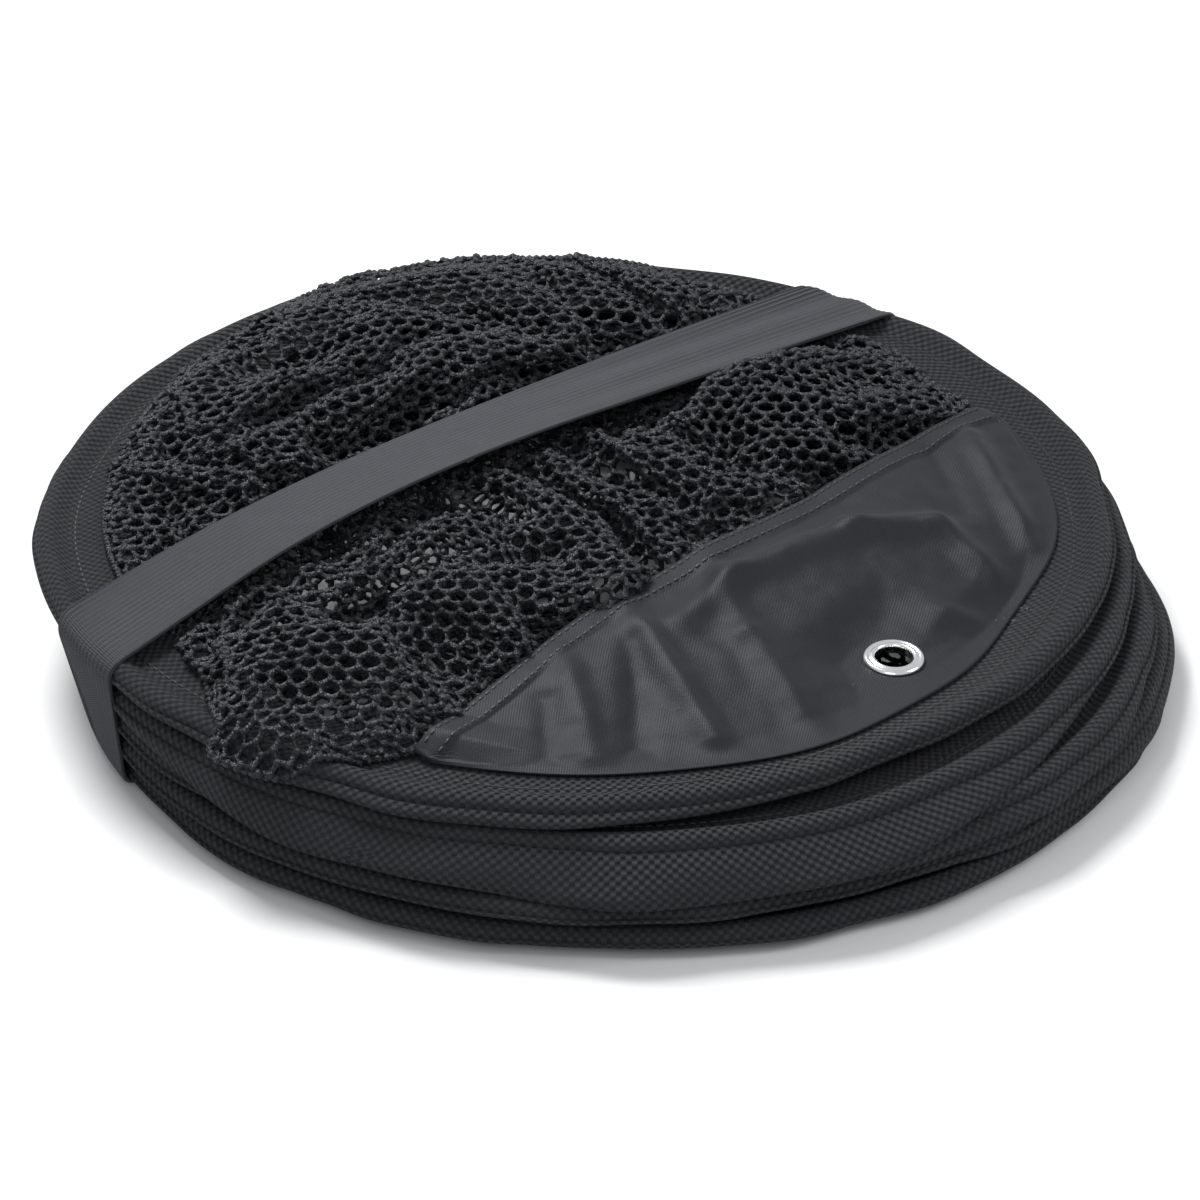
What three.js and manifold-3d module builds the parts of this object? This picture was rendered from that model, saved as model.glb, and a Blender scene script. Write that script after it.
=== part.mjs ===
// A folding crab trap: five sprung hoops in webbing sleeves, with netting between them, packed flat
// as a stack under a wide elastic band. Millimetres, +Z up, origin at the middle of the base.
import * as THREE from "three";
import { mergeVertices } from "three/addons/utils/BufferGeometryUtils.js";
import Module from "manifold-3d";

const wasm = await Module();
wasm.setup();

// ---- Driving dimensions ----

const clearance = 0.3; // between pieces that touch
const looseGap = 0.4; // between hoops that lie on each other, and under the band

// Hoops
const hoopCount = 5;
const hoopRadius = 175; // to the middle of the wire
const wireDiameter = 3.6;
const ferruleWall = 0.6;
const ferruleLength = 16;
const wireSplit = 1; // gap between the wire's two ends, inside the ferrule
const ferruleStep = 7; // facets of the ring between one hoop's ferrule and the next one's
const stackLean = new THREE.Vector2(-18, 22); // how far the top hoop has slipped off the bottom one

// Webbing sleeves
const tapeThickness = 1;
const tapeReach = 24; // from the wire's middle to the sleeve's inner edge
const tapeMouth = 1; // opening between the two legs, where the netting is sewn in

// Netting
const foldDepth = 40; // how far a folded wall reaches in from the sleeves
const netThickness = 2;
const heapHeight = 18; // slack netting heaped on top, above the lid's base

// Half-moon flap and its eyelet
const flapBearing = THREE.MathUtils.degToRad(-41); // direction of the flap from the hoop's middle
const hemOffset = 61; // from the hoop's middle to the flap's straight edge
const flapThickness = 0.8;
const hemWidth = 9;
const hemThickness = 1.6;
const entryGap = 16; // open slot between the flap's hem and the top net
const eyeletHole = 12;
const eyeletOuter = 20;
const eyeletWall = 0.8;
const eyeletRise = 1.4; // how far the flange stands over the cloth
const eyeletInset = 12.5; // from the sleeve's inner edge to the eyelet's middle

// Elastic band
const bandBearing = THREE.MathUtils.degToRad(43);
const bandOffset = 41; // from the top hoop's middle to the band's middle line
const bandWidth = 36;
const bandThickness = 1;

// Bait pouch
const pouchLength = 84;
const pouchWidth = 60;
const pouchHeight = 6;
const pouchCorner = 12;

// Fineness of the curved surfaces
const ringSides = 40;
const wireSides = 6;
const eyeletSides = 24;
const archSteps = 24;

// ---- Sizes that follow from them ----

const facetFactor = Math.cos(Math.PI / ringSides); // middle of a ring's facet over its corner
const tunnelHalf = wireDiameter / 2 + clearance + ferruleWall + clearance;
const beadHalf = tunnelHalf + tapeThickness;
const tunnelFlat = 0.8 * tunnelHalf; // half of the level stretch over the wire
const beadFlat = tunnelFlat + tapeThickness / 2;
const tailHalf = tapeMouth / 2 + tapeThickness;
const sleeveOuter = hoopRadius + beadHalf;
const tapeInner = hoopRadius - tapeReach;
const hoopPitch = 2 * beadHalf + looseGap;
const firstHoopZ = bandThickness + looseGap + beadHalf;
const lidRadius = tapeInner * facetFactor - clearance;
const topHoop = hoopCount - 1;
const lidBase = hoopHeight(topHoop) + clearance;
const netEdge = hemOffset - entryGap; // the top net's free edge, from the hoop's middle

function hoopHeight(index) {
  return firstHoopZ + index * hoopPitch;
}

// The stack leans more and more towards its top, and is centred over the origin.
function hoopCentre(index) {
  const share = (index / (hoopCount - 1)) ** 2;
  return stackLean.clone().multiplyScalar(share - 0.5);
}

// ---- Finishes ----

function finish(color, roughness, metalness = 0) {
  return new THREE.MeshStandardMaterial({ color, roughness, metalness });
}

const webbing = finish(0x26282d, 0.85);
const netting = finish(0x1d1f23, 0.9);
const nylon = finish(0x3a3d44, 0.55);
const elastic = finish(0x44474d, 0.8);
const springSteel = finish(0x8b8e92, 0.35, 1);
const plating = finish(0xd8dadd, 0.12, 1);

// ---- Solids ----

function toSolid(geometry) {
  const plain = geometry.index ? geometry.clone() : geometry;
  plain.deleteAttribute("normal");
  plain.deleteAttribute("uv");
  const merged = mergeVertices(plain, 1e-4);
  const vertProperties = new Float32Array(merged.attributes.position.array);
  const triVerts = new Uint32Array(merged.index.array);
  return new wasm.Manifold(new wasm.Mesh({ numProp: 3, vertProperties, triVerts }));
}

function toGeometry(solid) {
  const mesh = solid.getMesh();
  const geometry = new THREE.BufferGeometry();
  geometry.setAttribute("position", new THREE.BufferAttribute(mesh.vertProperties, 3));
  geometry.setIndex(new THREE.BufferAttribute(mesh.triVerts, 1));
  geometry.computeVertexNormals();
  return geometry;
}

// Turns a closed outline of [radius, height] pairs about Z.
function turned(outline, sides = ringSides) {
  const points = [...outline, outline[0]].map(([r, z]) => new THREE.Vector2(r, z));
  return new THREE.LatheGeometry(points, sides).rotateX(Math.PI / 2);
}

// A flat-ended ring of rectangular section.
function ring(inner, outer, low, high, sides = ringSides) {
  return turned([[inner, low], [outer, low], [outer, high], [inner, high]], sides);
}

// A round plate.
function disc(radius, low, high) {
  const points = [[0, low], [radius, low], [radius, high], [0, high]];
  const outline = points.map(([r, z]) => new THREE.Vector2(r, z));
  return new THREE.LatheGeometry(outline, ringSides).rotateX(Math.PI / 2);
}

function piece(name, geometry, material) {
  const mesh = new THREE.Mesh(geometry, material);
  mesh.name = name;
  return mesh;
}

// ---- Hoops ----

// Webbing folded over the wire: a bead round it, and two legs that close towards the middle.
function sleeveGeometry() {
  const mouth = tapeMouth / 2;
  return turned([
    [tapeInner, -tailHalf],
    [hoopRadius - beadFlat, -beadHalf],
    [hoopRadius + beadFlat, -beadHalf],
    [sleeveOuter, 0],
    [hoopRadius + beadFlat, beadHalf],
    [hoopRadius - beadFlat, beadHalf],
    [tapeInner, tailHalf],
    [tapeInner, mouth],
    [hoopRadius - tunnelFlat, tunnelHalf],
    [hoopRadius + tunnelFlat, tunnelHalf],
    [hoopRadius + tunnelHalf, 0],
    [hoopRadius + tunnelFlat, -tunnelHalf],
    [hoopRadius - tunnelFlat, -tunnelHalf],
    [tapeInner, -mouth],
  ]);
}

// Round spring wire bent to a ring, cut through where its ends meet.
function wireGeometry(bearing) {
  const section = [];
  for (let i = 0; i < wireSides; i += 1) {
    const turn = (i / wireSides) * 2 * Math.PI;
    section.push([
      hoopRadius + (wireDiameter / 2) * Math.cos(turn),
      (wireDiameter / 2) * Math.sin(turn),
    ]);
  }
  const cut = new THREE.BoxGeometry(2 * wireDiameter, wireSplit, 2 * wireDiameter);
  cut.translate(hoopRadius, 0, 0);
  cut.rotateZ(bearing);
  return toGeometry(toSolid(turned(section)).subtract(toSolid(cut)));
}

// A crimped tube over the wire's two ends.
function ferruleGeometry(bearing) {
  const bore = wireDiameter / 2 + clearance;
  const tube = ring(bore, bore + ferruleWall, -ferruleLength / 2, ferruleLength / 2, eyeletSides);
  tube.rotateX(-Math.PI / 2);
  tube.translate(hoopRadius * facetFactor, 0, 0);
  tube.rotateZ(bearing);
  return tube;
}

function hoop(index) {
  const group = new THREE.Group();
  const centre = hoopCentre(index);
  group.position.set(centre.x, centre.y, hoopHeight(index));
  const facet = 0.5 + index * ferruleStep;
  const bearing = (facet / ringSides) * 2 * Math.PI;
  const name = `hoop_${index + 1}`;
  group.add(piece(`${name}_sleeve`, sleeveGeometry(), webbing));
  group.add(piece(`${name}_wire`, wireGeometry(bearing), springSteel));
  group.add(piece(`${name}_ferrule`, ferruleGeometry(bearing), springSteel));
  return group;
}

// ---- Netting ----

// The wall between two hoops, folded inwards between them.
function wallNet(index) {
  const lower = hoopCentre(index);
  const upper = hoopCentre(index + 1);
  const middle = lower.clone().lerp(upper, 0.5);
  const outer = lidRadius - lower.distanceTo(upper) / 2;
  const inner = tapeInner - foldDepth;
  const low = hoopHeight(index) + clearance;
  const high = hoopHeight(index + 1) - clearance;
  const mesh = piece(`wall_net_${index + 1}`, ring(inner, outer, low, high), netting);
  mesh.position.set(middle.x, middle.y, 0);
  return mesh;
}

function bottomNet() {
  const centre = hoopCentre(0);
  const top = hoopHeight(0) - clearance;
  const mesh = piece("bottom_net", disc(lidRadius, top - netThickness, top), netting);
  mesh.position.set(centre.x, centre.y, 0);
  return mesh;
}

// ---- Lid: local +X runs from the hoop's middle to the flap ----

// The part of the lid's circle between two lines across it.
function segment(from, to, radius) {
  const shape = new THREE.Shape();
  const start = Math.acos(to / radius);
  const end = Math.acos(from / radius);
  shape.moveTo(radius * Math.cos(start), radius * Math.sin(start));
  shape.absarc(0, 0, radius, start, end, false);
  shape.lineTo(radius * Math.cos(end), -radius * Math.sin(end));
  shape.absarc(0, 0, radius, -end, -start, false);
  return shape;
}

function plate(shape, low, high) {
  const options = { depth: high - low, bevelEnabled: false, curveSegments: ringSides / 2 };
  return new THREE.ExtrudeGeometry(shape, options).translate(0, 0, low);
}

// Slack netting sewn in behind the flap's slot, with what is left over heaped on it.
function topNet() {
  const outline = segment(-lidRadius, netEdge, lidRadius);
  const heap = new THREE.SphereGeometry(1, ringSides, ringSides / 2);
  heap.scale((lidRadius + netEdge) / 2, lidRadius, heapHeight);
  heap.translate((netEdge - lidRadius) / 2, 0, lidBase);
  const room = toSolid(plate(outline, lidBase, lidBase + 2 * heapHeight));
  const ground = toSolid(plate(outline, lidBase, lidBase + netThickness));
  return piece("top_net", toGeometry(toSolid(heap).intersect(room).add(ground)), netting);
}

const flapLow = lidBase + eyeletWall + clearance;
const flapHigh = flapLow + flapThickness;
const eyeletX = lidRadius - eyeletInset;
const eyeletBore = eyeletHole / 2 + eyeletWall + clearance;

// Thick where the hem is turned under, thin beyond it, with a hole for the eyelet.
function flap() {
  const outline = segment(hemOffset, lidRadius, lidRadius);
  const opening = new THREE.Path();
  opening.absarc(eyeletX, 0, eyeletBore, 0, 2 * Math.PI, true);
  outline.holes.push(opening);
  const beyondHem = new THREE.BoxGeometry(2 * lidRadius, 4 * lidRadius, 2 * hemThickness);
  beyondHem.translate(hemOffset + hemWidth + lidRadius, 0, flapHigh + hemThickness);
  const cloth = toSolid(plate(outline, flapLow, flapLow + hemThickness));
  return piece("nylon_flap", toGeometry(cloth.subtract(toSolid(beyondHem))), nylon);
}

// A rolled flange over the cloth, and the barrel that goes through it.
function eyelet() {
  const inner = eyeletHole / 2;
  const barrel = inner + eyeletWall;
  const outer = eyeletOuter / 2;
  const seat = flapHigh + clearance;
  const crest = flapHigh + eyeletRise;
  const flat = (outer - inner) / 4; // half of the flat on the flange's crest
  const middle = (outer + inner) / 2;
  const geometry = turned([
    [inner, lidBase],
    [barrel, lidBase],
    [barrel, seat],
    [outer, seat],
    [middle + flat, crest],
    [middle - flat, crest],
    [inner, seat + clearance],
  ], eyeletSides);
  return piece("eyelet", geometry.translate(eyeletX, 0, 0), plating);
}

function eyeletWasher() {
  const high = flapLow - clearance;
  const geometry = ring(eyeletBore, eyeletOuter / 2, high - eyeletWall, high, eyeletSides);
  return piece("eyelet_washer", geometry.translate(eyeletX, 0, 0), plating);
}

function lid() {
  const group = new THREE.Group();
  const centre = hoopCentre(topHoop);
  group.position.set(centre.x, centre.y, 0);
  group.rotation.z = flapBearing;
  group.add(topNet(), flap(), eyelet(), eyeletWasher());
  return group;
}

// ---- Elastic band ----

const bandAlong = new THREE.Vector2(Math.cos(bandBearing), Math.sin(bandBearing));
const bandAcross = new THREE.Vector2(-bandAlong.y, bandAlong.x);
const bandLane = hoopCentre(topHoop).dot(bandAcross) + bandOffset;

// The arch over the heap, from rim to rim, as a side view along the band. Margin is its height
// over the heap and the rim.
function archShape(margin) {
  const middle = hoopCentre(topHoop).dot(bandAlong);
  const lane = Math.max(0, Math.abs(bandOffset) - bandWidth / 2);
  const half = Math.sqrt(sleeveOuter ** 2 - lane ** 2) + margin;
  const rise = heapHeight + margin;
  const rim = hoopHeight(topHoop) + beadHalf + margin - lidBase;
  const span = half / Math.sqrt(1 - (rim / rise) ** 2);
  const points = [];
  for (let i = 0; i <= archSteps; i += 1) {
    const s = half * Math.cos((i / archSteps) * Math.PI);
    points.push(new THREE.Vector2(middle + s, lidBase + rise * Math.sqrt(1 - (s / span) ** 2)));
  }
  points.push(new THREE.Vector2(middle - half, lidBase), new THREE.Vector2(middle + half, lidBase));
  return new THREE.Shape(points);
}

// A block as long as the shape, across the whole stack, standing along the band.
function alongBand(shape) {
  const across = 4 * sleeveOuter;
  const geometry = new THREE.ExtrudeGeometry(shape, { depth: across, bevelEnabled: false });
  geometry.rotateX(Math.PI / 2);
  geometry.translate(0, across / 2, 0);
  geometry.rotateZ(bandBearing);
  return toSolid(geometry);
}

// The packed stack as one body, larger all round by the margin.
function stackEnvelope(margin, low) {
  const round = (index, from, to) => {
    const centre = hoopCentre(index);
    const body = disc(sleeveOuter + margin, from, to);
    return toSolid(body.translate(centre.x, centre.y, 0));
  };
  const high = hoopHeight(topHoop) + hoopPitch + heapHeight;
  let body = alongBand(archShape(margin)).intersect(round(topHoop, lidBase, high));
  for (let i = 0; i < hoopCount; i += 1) {
    const from = hoopHeight(i) - hoopPitch / 2 - margin;
    const to = hoopHeight(i) + beadHalf + margin;
    body = body.add(round(i, i === 0 ? low : from, to));
  }
  return body;
}

// A closed loop of flat elastic, stretched once round the stack.
function band() {
  const outside = stackEnvelope(looseGap + bandThickness, 0);
  const inside = stackEnvelope(looseGap, bandThickness);
  const lane = new THREE.BoxGeometry(4 * sleeveOuter, bandWidth, 4 * sleeveOuter);
  lane.translate(0, bandLane, 0);
  lane.rotateZ(bandBearing);
  const loop = outside.subtract(inside).intersect(toSolid(lane));
  return piece("retaining_band", toGeometry(loop), elastic);
}

// ---- Bait pouch ----

function baitPouch() {
  const [x, y, r] = [pouchLength / 2, pouchWidth / 2, pouchCorner];
  const shape = new THREE.Shape();
  shape.absarc(x - r, y - r, r, 0, Math.PI / 2, false);
  shape.absarc(r - x, y - r, r, Math.PI / 2, Math.PI, false);
  shape.absarc(r - x, r - y, r, Math.PI, 1.5 * Math.PI, false);
  shape.absarc(x - r, r - y, r, 1.5 * Math.PI, 2 * Math.PI, false);
  const low = hoopHeight(0);
  const options = { depth: pouchHeight, bevelEnabled: false, curveSegments: 4 };
  const mesh = piece("bait_pouch", new THREE.ExtrudeGeometry(shape, options), netting);
  const centre = hoopCentre(0);
  mesh.position.set(centre.x, centre.y, low);
  return mesh;
}

// ---- Assembly ----

const trap = new THREE.Group();
for (let i = 0; i < hoopCount; i += 1) trap.add(hoop(i));
for (let i = 0; i < hoopCount - 1; i += 1) trap.add(wallNet(i));
trap.add(bottomNet(), baitPouch(), lid(), band());

export default trap;
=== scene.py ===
import math

import bmesh
import bpy
import numpy as np
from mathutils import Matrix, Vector, noise
from mathutils.geometry import delaunay_2d_cdt


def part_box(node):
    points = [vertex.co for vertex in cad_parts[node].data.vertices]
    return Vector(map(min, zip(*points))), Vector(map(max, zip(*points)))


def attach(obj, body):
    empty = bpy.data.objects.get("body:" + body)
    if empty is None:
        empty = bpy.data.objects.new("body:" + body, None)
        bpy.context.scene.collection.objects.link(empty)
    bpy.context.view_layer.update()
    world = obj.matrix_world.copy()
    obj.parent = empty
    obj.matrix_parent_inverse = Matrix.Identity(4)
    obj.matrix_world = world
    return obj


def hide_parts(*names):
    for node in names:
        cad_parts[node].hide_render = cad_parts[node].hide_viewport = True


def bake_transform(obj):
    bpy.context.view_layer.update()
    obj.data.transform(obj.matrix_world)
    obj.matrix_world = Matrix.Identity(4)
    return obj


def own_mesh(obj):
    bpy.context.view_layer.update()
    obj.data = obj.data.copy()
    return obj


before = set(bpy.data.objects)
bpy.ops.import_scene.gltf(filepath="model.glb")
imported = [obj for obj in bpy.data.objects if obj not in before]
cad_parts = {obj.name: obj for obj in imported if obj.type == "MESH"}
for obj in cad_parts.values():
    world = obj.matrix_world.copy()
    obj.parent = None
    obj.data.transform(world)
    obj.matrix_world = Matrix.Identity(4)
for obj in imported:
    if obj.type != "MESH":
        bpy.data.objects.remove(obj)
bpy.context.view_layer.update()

# ---- Camera, floor and light ----
# The trap lies on a pale table top and is seen from in front and above through a long lens.
# A broad soft light stands over its left shoulder, with a weaker one from the right.

MM = 0.001
scene = bpy.context.scene
EYE_DISTANCE = 2.0
EYE_HEIGHT = math.radians(29.5)
LOOK_AT = Vector((0.001, 0.001, 0.018))
LENS = 180

lens = bpy.data.cameras.new("eye")
lens.lens = LENS
lens.clip_start = 0.05
eye = bpy.data.objects.new("eye", lens)
scene.collection.objects.link(eye)
eye.location = LOOK_AT + EYE_DISTANCE * Vector((0, -math.cos(EYE_HEIGHT), math.sin(EYE_HEIGHT)))
eye.rotation_euler = (math.pi / 2 - EYE_HEIGHT, 0, 0)
scene.camera = eye


class Value:
    """A node socket that takes part in sums, so that a pattern can be written as one line."""

    def __init__(self, recipe, socket):
        self.recipe, self.socket = recipe, socket

    def _sum(self, operation, *terms):
        return self.recipe.node("ShaderNodeMath", {"operation": operation}, *terms)

    def __add__(self, other):
        return self._sum("ADD", self, other)

    def __radd__(self, other):
        return self._sum("ADD", other, self)

    def __sub__(self, other):
        return self._sum("SUBTRACT", self, other)

    def __rsub__(self, other):
        return self._sum("SUBTRACT", other, self)

    def __mul__(self, other):
        return self._sum("MULTIPLY", self, other)

    def __rmul__(self, other):
        return self._sum("MULTIPLY", other, self)

    def __truediv__(self, other):
        return self._sum("DIVIDE", self, other)

    def __abs__(self):
        return self._sum("ABSOLUTE", self)

    def sin(self):
        return self._sum("SINE", self)

    def ramp(self, low, high):
        settings = {"interpolation_type": "SMOOTHSTEP"}
        return self.recipe.node("ShaderNodeMapRange", settings, self, low, high)


class Recipe:
    """One material: a Principled BSDF, and the nodes that feed it."""

    def __init__(self, name, **constants):
        self.material = bpy.data.materials.new(name)
        self.material.use_nodes = True
        self.tree = self.material.node_tree
        self.shader = self.tree.nodes["Principled BSDF"]
        for key, value in constants.items():
            self.shader.inputs[key.replace("_", " ").title().replace("Ior", "IOR")].default_value = value

    def node(self, kind, settings=None, *inputs, out=0, **named):
        made = self.tree.nodes.new(kind)
        for key, value in (settings or {}).items():
            setattr(made, key, value)
        pairs = list(enumerate(inputs)) + [(k.replace("_", " "), v) for k, v in named.items()]
        for key, value in pairs:
            if value is None:
                continue
            if isinstance(value, Value):
                self.tree.links.new(value.socket, made.inputs[key])
            else:
                made.inputs[key].default_value = value
        return Value(self, made.outputs[out])

    def along_cloth(self):
        """The two distances, in millimetres, along and across a woven piece."""
        where = self.node("ShaderNodeUVMap", {"uv_map": "cloth"})
        split = self.node("ShaderNodeSeparateXYZ", None, where)
        across = Value(self, split.socket.node.outputs[1])
        return split / MM, across / MM

    def blotches(self, size, detail=3.0, roughness=0.6):
        """Soft noise from 0 to 1 with patches of about that size, in metres."""
        where = self.node("ShaderNodeTexCoord", None, out="Object")
        return self.node("ShaderNodeTexNoise", None, where,
                         Scale=1 / size, Detail=detail, Roughness=roughness)

    def shade(self, dark, light, amount):
        """A colour between dark and light."""
        colour = self.node("ShaderNodeMix", {"data_type": "RGBA"}, out=2)
        made = colour.socket.node
        self.tree.links.new(amount.socket, made.inputs[0])
        made.inputs[6].default_value = (*dark, 1)
        made.inputs[7].default_value = (*light, 1)
        return colour

    def feed(self, socket, value):
        self.tree.links.new(value.socket, self.shader.inputs[socket])

    def relief(self, height, depth):
        """Raises the surface by up to that depth, in metres, where height is 1."""
        self.feed("Normal", self.node("ShaderNodeBump", None, Height=height, Distance=depth, Strength=1.0))


def put(name, verts, faces, material=None, smooth=True, edges=()):
    """A mesh object at the origin, with its place in its mesh."""
    mesh = bpy.data.meshes.new(name)
    mesh.from_pydata([tuple(v) for v in verts], list(edges), [tuple(f) for f in faces])
    mesh.validate()
    if material:
        mesh.materials.append(material)
    mesh.polygons.foreach_set("use_smooth", [smooth] * len(mesh.polygons))
    made = bpy.data.objects.new(name, mesh)
    scene.collection.objects.link(made)
    return made


def settled(piece):
    """The piece with all its modifiers made part of its mesh."""
    view = bpy.context.evaluated_depsgraph_get()
    mesh = bpy.data.meshes.new_from_object(piece.evaluated_get(view), depsgraph=view)
    piece.modifiers.clear()
    if piece.data.shape_keys:
        piece.shape_key_clear()
    old, piece.data = piece.data, mesh
    bpy.data.meshes.remove(old)
    mesh.name = piece.name
    return piece


table = Recipe("pale_table", roughness=0.6)
table.shader.inputs["Base Color"].default_value = (0.62, 0.62, 0.62, 1)
side = 6.0
top = put("table_top", [(-side, -side, 0), (side, -side, 0), (side, side, 0), (-side, side, 0)],
          [(0, 1, 2, 3)], table.material)

sky = bpy.data.worlds.new("studio")
sky.use_nodes = True
sky.node_tree.nodes["Background"].inputs[0].default_value = (0.95, 0.97, 1.0, 1)
sky.node_tree.nodes["Background"].inputs[1].default_value = 0.60
scene.world = sky
scene.view_settings.view_transform = "Standard"


def soft_light(name, place, width, power):
    lamp = bpy.data.lights.new(name, "AREA")
    lamp.shape, lamp.size, lamp.energy = "SQUARE", width, power
    light = bpy.data.objects.new(name, lamp)
    scene.collection.objects.link(light)
    light.location = place
    light.rotation_euler = (LOOK_AT - Vector(place)).to_track_quat("-Z", "Y").to_euler()


soft_light("over_left_shoulder", (-0.45, 0.65, 1.25), 0.55, 31)
soft_light("from_right", (1.1, -0.2, 0.9), 0.6, 8)
soft_light("from_front", (-0.2, -1.3, 0.9), 0.8, 4)

# ---- Sprung wire hoops ----
# Five rings of round spring steel, each closed by a crimped tube where its ends meet. They give the
# trap its round shape and push it open. They lie inside the sleeves, packed on each other like coins.

HOOPS = 5
HOOP_RADIUS = 175 * MM
WIRE = 3.6 * MM
CRIMP_RADIUS, CRIMP_LONG = 2.45 * MM, 16 * MM
BODIES = ["bottom", "second_hoop", "third_hoop", "fourth_hoop", "top"]
TURNS = 360


def middle(node):
    low, high = (Vector(c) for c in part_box(node))
    return (low + high) / 2


centres = [middle(f"hoop_{i + 1}_sleeve") for i in range(HOOPS)]
LIFT = 10 * MM
LIFT_BEARING = math.radians(112)
DENT = 6 * MM
DENT_BEARING = math.radians(146)


def hoop_place(index, turn):
    """A point on the wire. Packed hoops bow up where most netting lies between them, and aren't round."""
    share = index / (HOOPS - 1)
    lift = LIFT * share * (0.5 + 0.5 * math.cos(turn - LIFT_BEARING))
    wave = 1.3 * MM * math.sin(3 * turn + 1.7 * index) + 0.9 * MM * math.sin(5 * turn + 2.3 * index)
    wave += 0.35 * MM * math.sin(13 * turn + 1.1 * index)
    wave -= DENT * math.exp(5 * (math.cos(turn - DENT_BEARING) - 1))
    reach = HOOP_RADIUS + wave
    c = centres[index]
    return Vector((c.x + reach * math.cos(turn), c.y + reach * math.sin(turn), c.z + lift))


def swept(name, section_at, turns, material, closed=True):
    """A skin through one ring of points for each turn. Its map is in metres, along and across."""
    rings = [section_at(t) for t in turns]
    count, points = len(rings), len(rings[0])
    verts = [p for ring in rings for p in ring]
    faces, last = [], count if closed else count - 1
    for i in range(last):
        j = (i + 1) % count
        for k in range(points):
            m = (k + 1) % points
            faces.append((i * points + k, j * points + k, j * points + m, i * points + m))
    if not closed:
        faces += [tuple(range(points)), tuple((count - 1) * points + k for k in reversed(range(points)))]
    made = put(name, verts, faces, material)
    across = []
    for ring in rings:
        steps = [(Vector(ring[k]) - Vector(ring[(k + 1) % points])).length for k in range(points)]
        across.append([0.0, *np.cumsum(steps)])
    along = [0.0]
    for i in range(last):
        a = sum((Vector(p) for p in rings[i]), Vector()) / points
        b = sum((Vector(p) for p in rings[(i + 1) % count]), Vector()) / points
        along.append(along[-1] + (b - a).length)
    layer = made.data.uv_layers.new(name="cloth")
    flat = []
    for i in range(last):
        for k in range(points):
            here, there = across[i], across[(i + 1) % count]
            flat += [along[i], here[k], along[i + 1], there[k],
                     along[i + 1], there[k + 1], along[i], here[k + 1]]
    room = len(layer.data) * 2 - len(flat)
    layer.data.foreach_set("uv", flat + [0.0] * room)
    return made


steel = Recipe("spring_steel", metallic=0.9, roughness=0.35)
steel.feed("Base Color", steel.shade((0.20, 0.20, 0.21), (0.42, 0.42, 0.44), steel.blotches(9 * MM)))
around = [2 * math.pi * i / TURNS for i in range(TURNS)]
for i in range(HOOPS):
    def wire_ring(turn, index=i):
        c, out = hoop_place(index, turn), Vector((math.cos(turn), math.sin(turn), 0))
        return [c + WIRE / 2 * (out * math.cos(a) + Vector((0, 0, 1)) * math.sin(a))
                for a in (math.pi * k / 4 for k in range(8))]

    wire = swept(f"hoop_{i + 1}_sprung_wire", wire_ring, around, steel.material)
    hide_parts(f"hoop_{i + 1}_wire")
    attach(wire, BODIES[i])

    ferrule_at = math.atan2(*(middle(f"hoop_{i + 1}_ferrule") - centres[i]).yx)
    half = CRIMP_LONG / 2 / HOOP_RADIUS

    def crimp_ring(turn, index=i):
        c, out = hoop_place(index, turn), Vector((math.cos(turn), math.sin(turn), 0))
        return [c + CRIMP_RADIUS * (out * math.cos(a) + Vector((0, 0, 1)) * math.sin(a))
                for a in (2 * math.pi * k / 12 for k in range(12))]

    ferrule = swept(f"hoop_{i + 1}_crimped_tube", crimp_ring,
                    [ferrule_at + half * (k / 8 - 1) for k in range(17)], steel.material, closed=False)
    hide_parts(f"hoop_{i + 1}_ferrule")
    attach(ferrule, BODIES[i])

# ---- Webbing sleeves ----
# Black polyester webbing folded round each wire, with its two legs sewn together towards the middle.
# The weave is a plain basket weave. The fourth sleeve's spare width hangs in a fold at the front.

TAPE = 0.9 * MM
BEAD = 3.6 * MM
LEG = 24 * MM
LEG_ROOT = math.sqrt(BEAD ** 2 - TAPE ** 2) + 2.2 * MM
SEAM_IN = 8.5 * MM
BAND_ENDS = (math.radians(61), math.radians(205))
SPARE_TAPE = ((0, 0), (5, -18), (6, -48), (0, 0), (3.5, -100))
FOLD_LONGEST = 20 * MM
FOLD_BEARING = math.radians(-88)
FOLD_REACH = math.radians(62)

webbing = Recipe("black_webbing", roughness=0.75, sheen_weight=0.05, sheen_roughness=0.5)
webbing.shader.inputs["Specular IOR Level"].default_value = 0.22
webbing.shader.inputs["Specular Tint"].default_value = (0.84, 0.90, 1.0, 1)
u, v = webbing.along_cloth()
pick = 3.3
checks = ((u * (2 * math.pi / pick)).sin() * (v * (2 * math.pi / pick)).sin()) * 0.5 + 0.5
weave_tops_and_highlight = checks.ramp(0.28, 0.80)
thread = abs((u * (2 * math.pi / 0.42)).sin()) * 0.18
webbing.relief(checks + weave_tops_and_highlight * 0.5 + thread, 2.6 * MM)
# Painted highlight and painted shade: the raised weave tops are coloured lighter and the hollows between them
# darker, with random blotches of tone on top.
webbing.feed("Base Color", webbing.shade((0.0020, 0.0021, 0.0024), (0.0330, 0.0340, 0.0385),
                                         weave_tops_and_highlight * 0.80 + webbing.blotches(22 * MM) * 0.25))


def bump(turn, bearing, reach):
    """1 at the bearing, falling smoothly to 0 at the reach on both sides of it."""
    off = abs((turn - bearing + math.pi) % (2 * math.pi) - math.pi) / reach
    return 0.0 if off >= 1 else (0.5 + 0.5 * math.cos(math.pi * off))


def leg_slope(index, turn):
    """How steeply the sewn legs rise towards the middle, in radians."""
    if index == HOOPS - 1:
        return math.radians(7 * bump(turn, math.radians(200), 1.9) - 9 * bump(turn, math.radians(-25), 1.2))
    return 0.0


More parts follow.
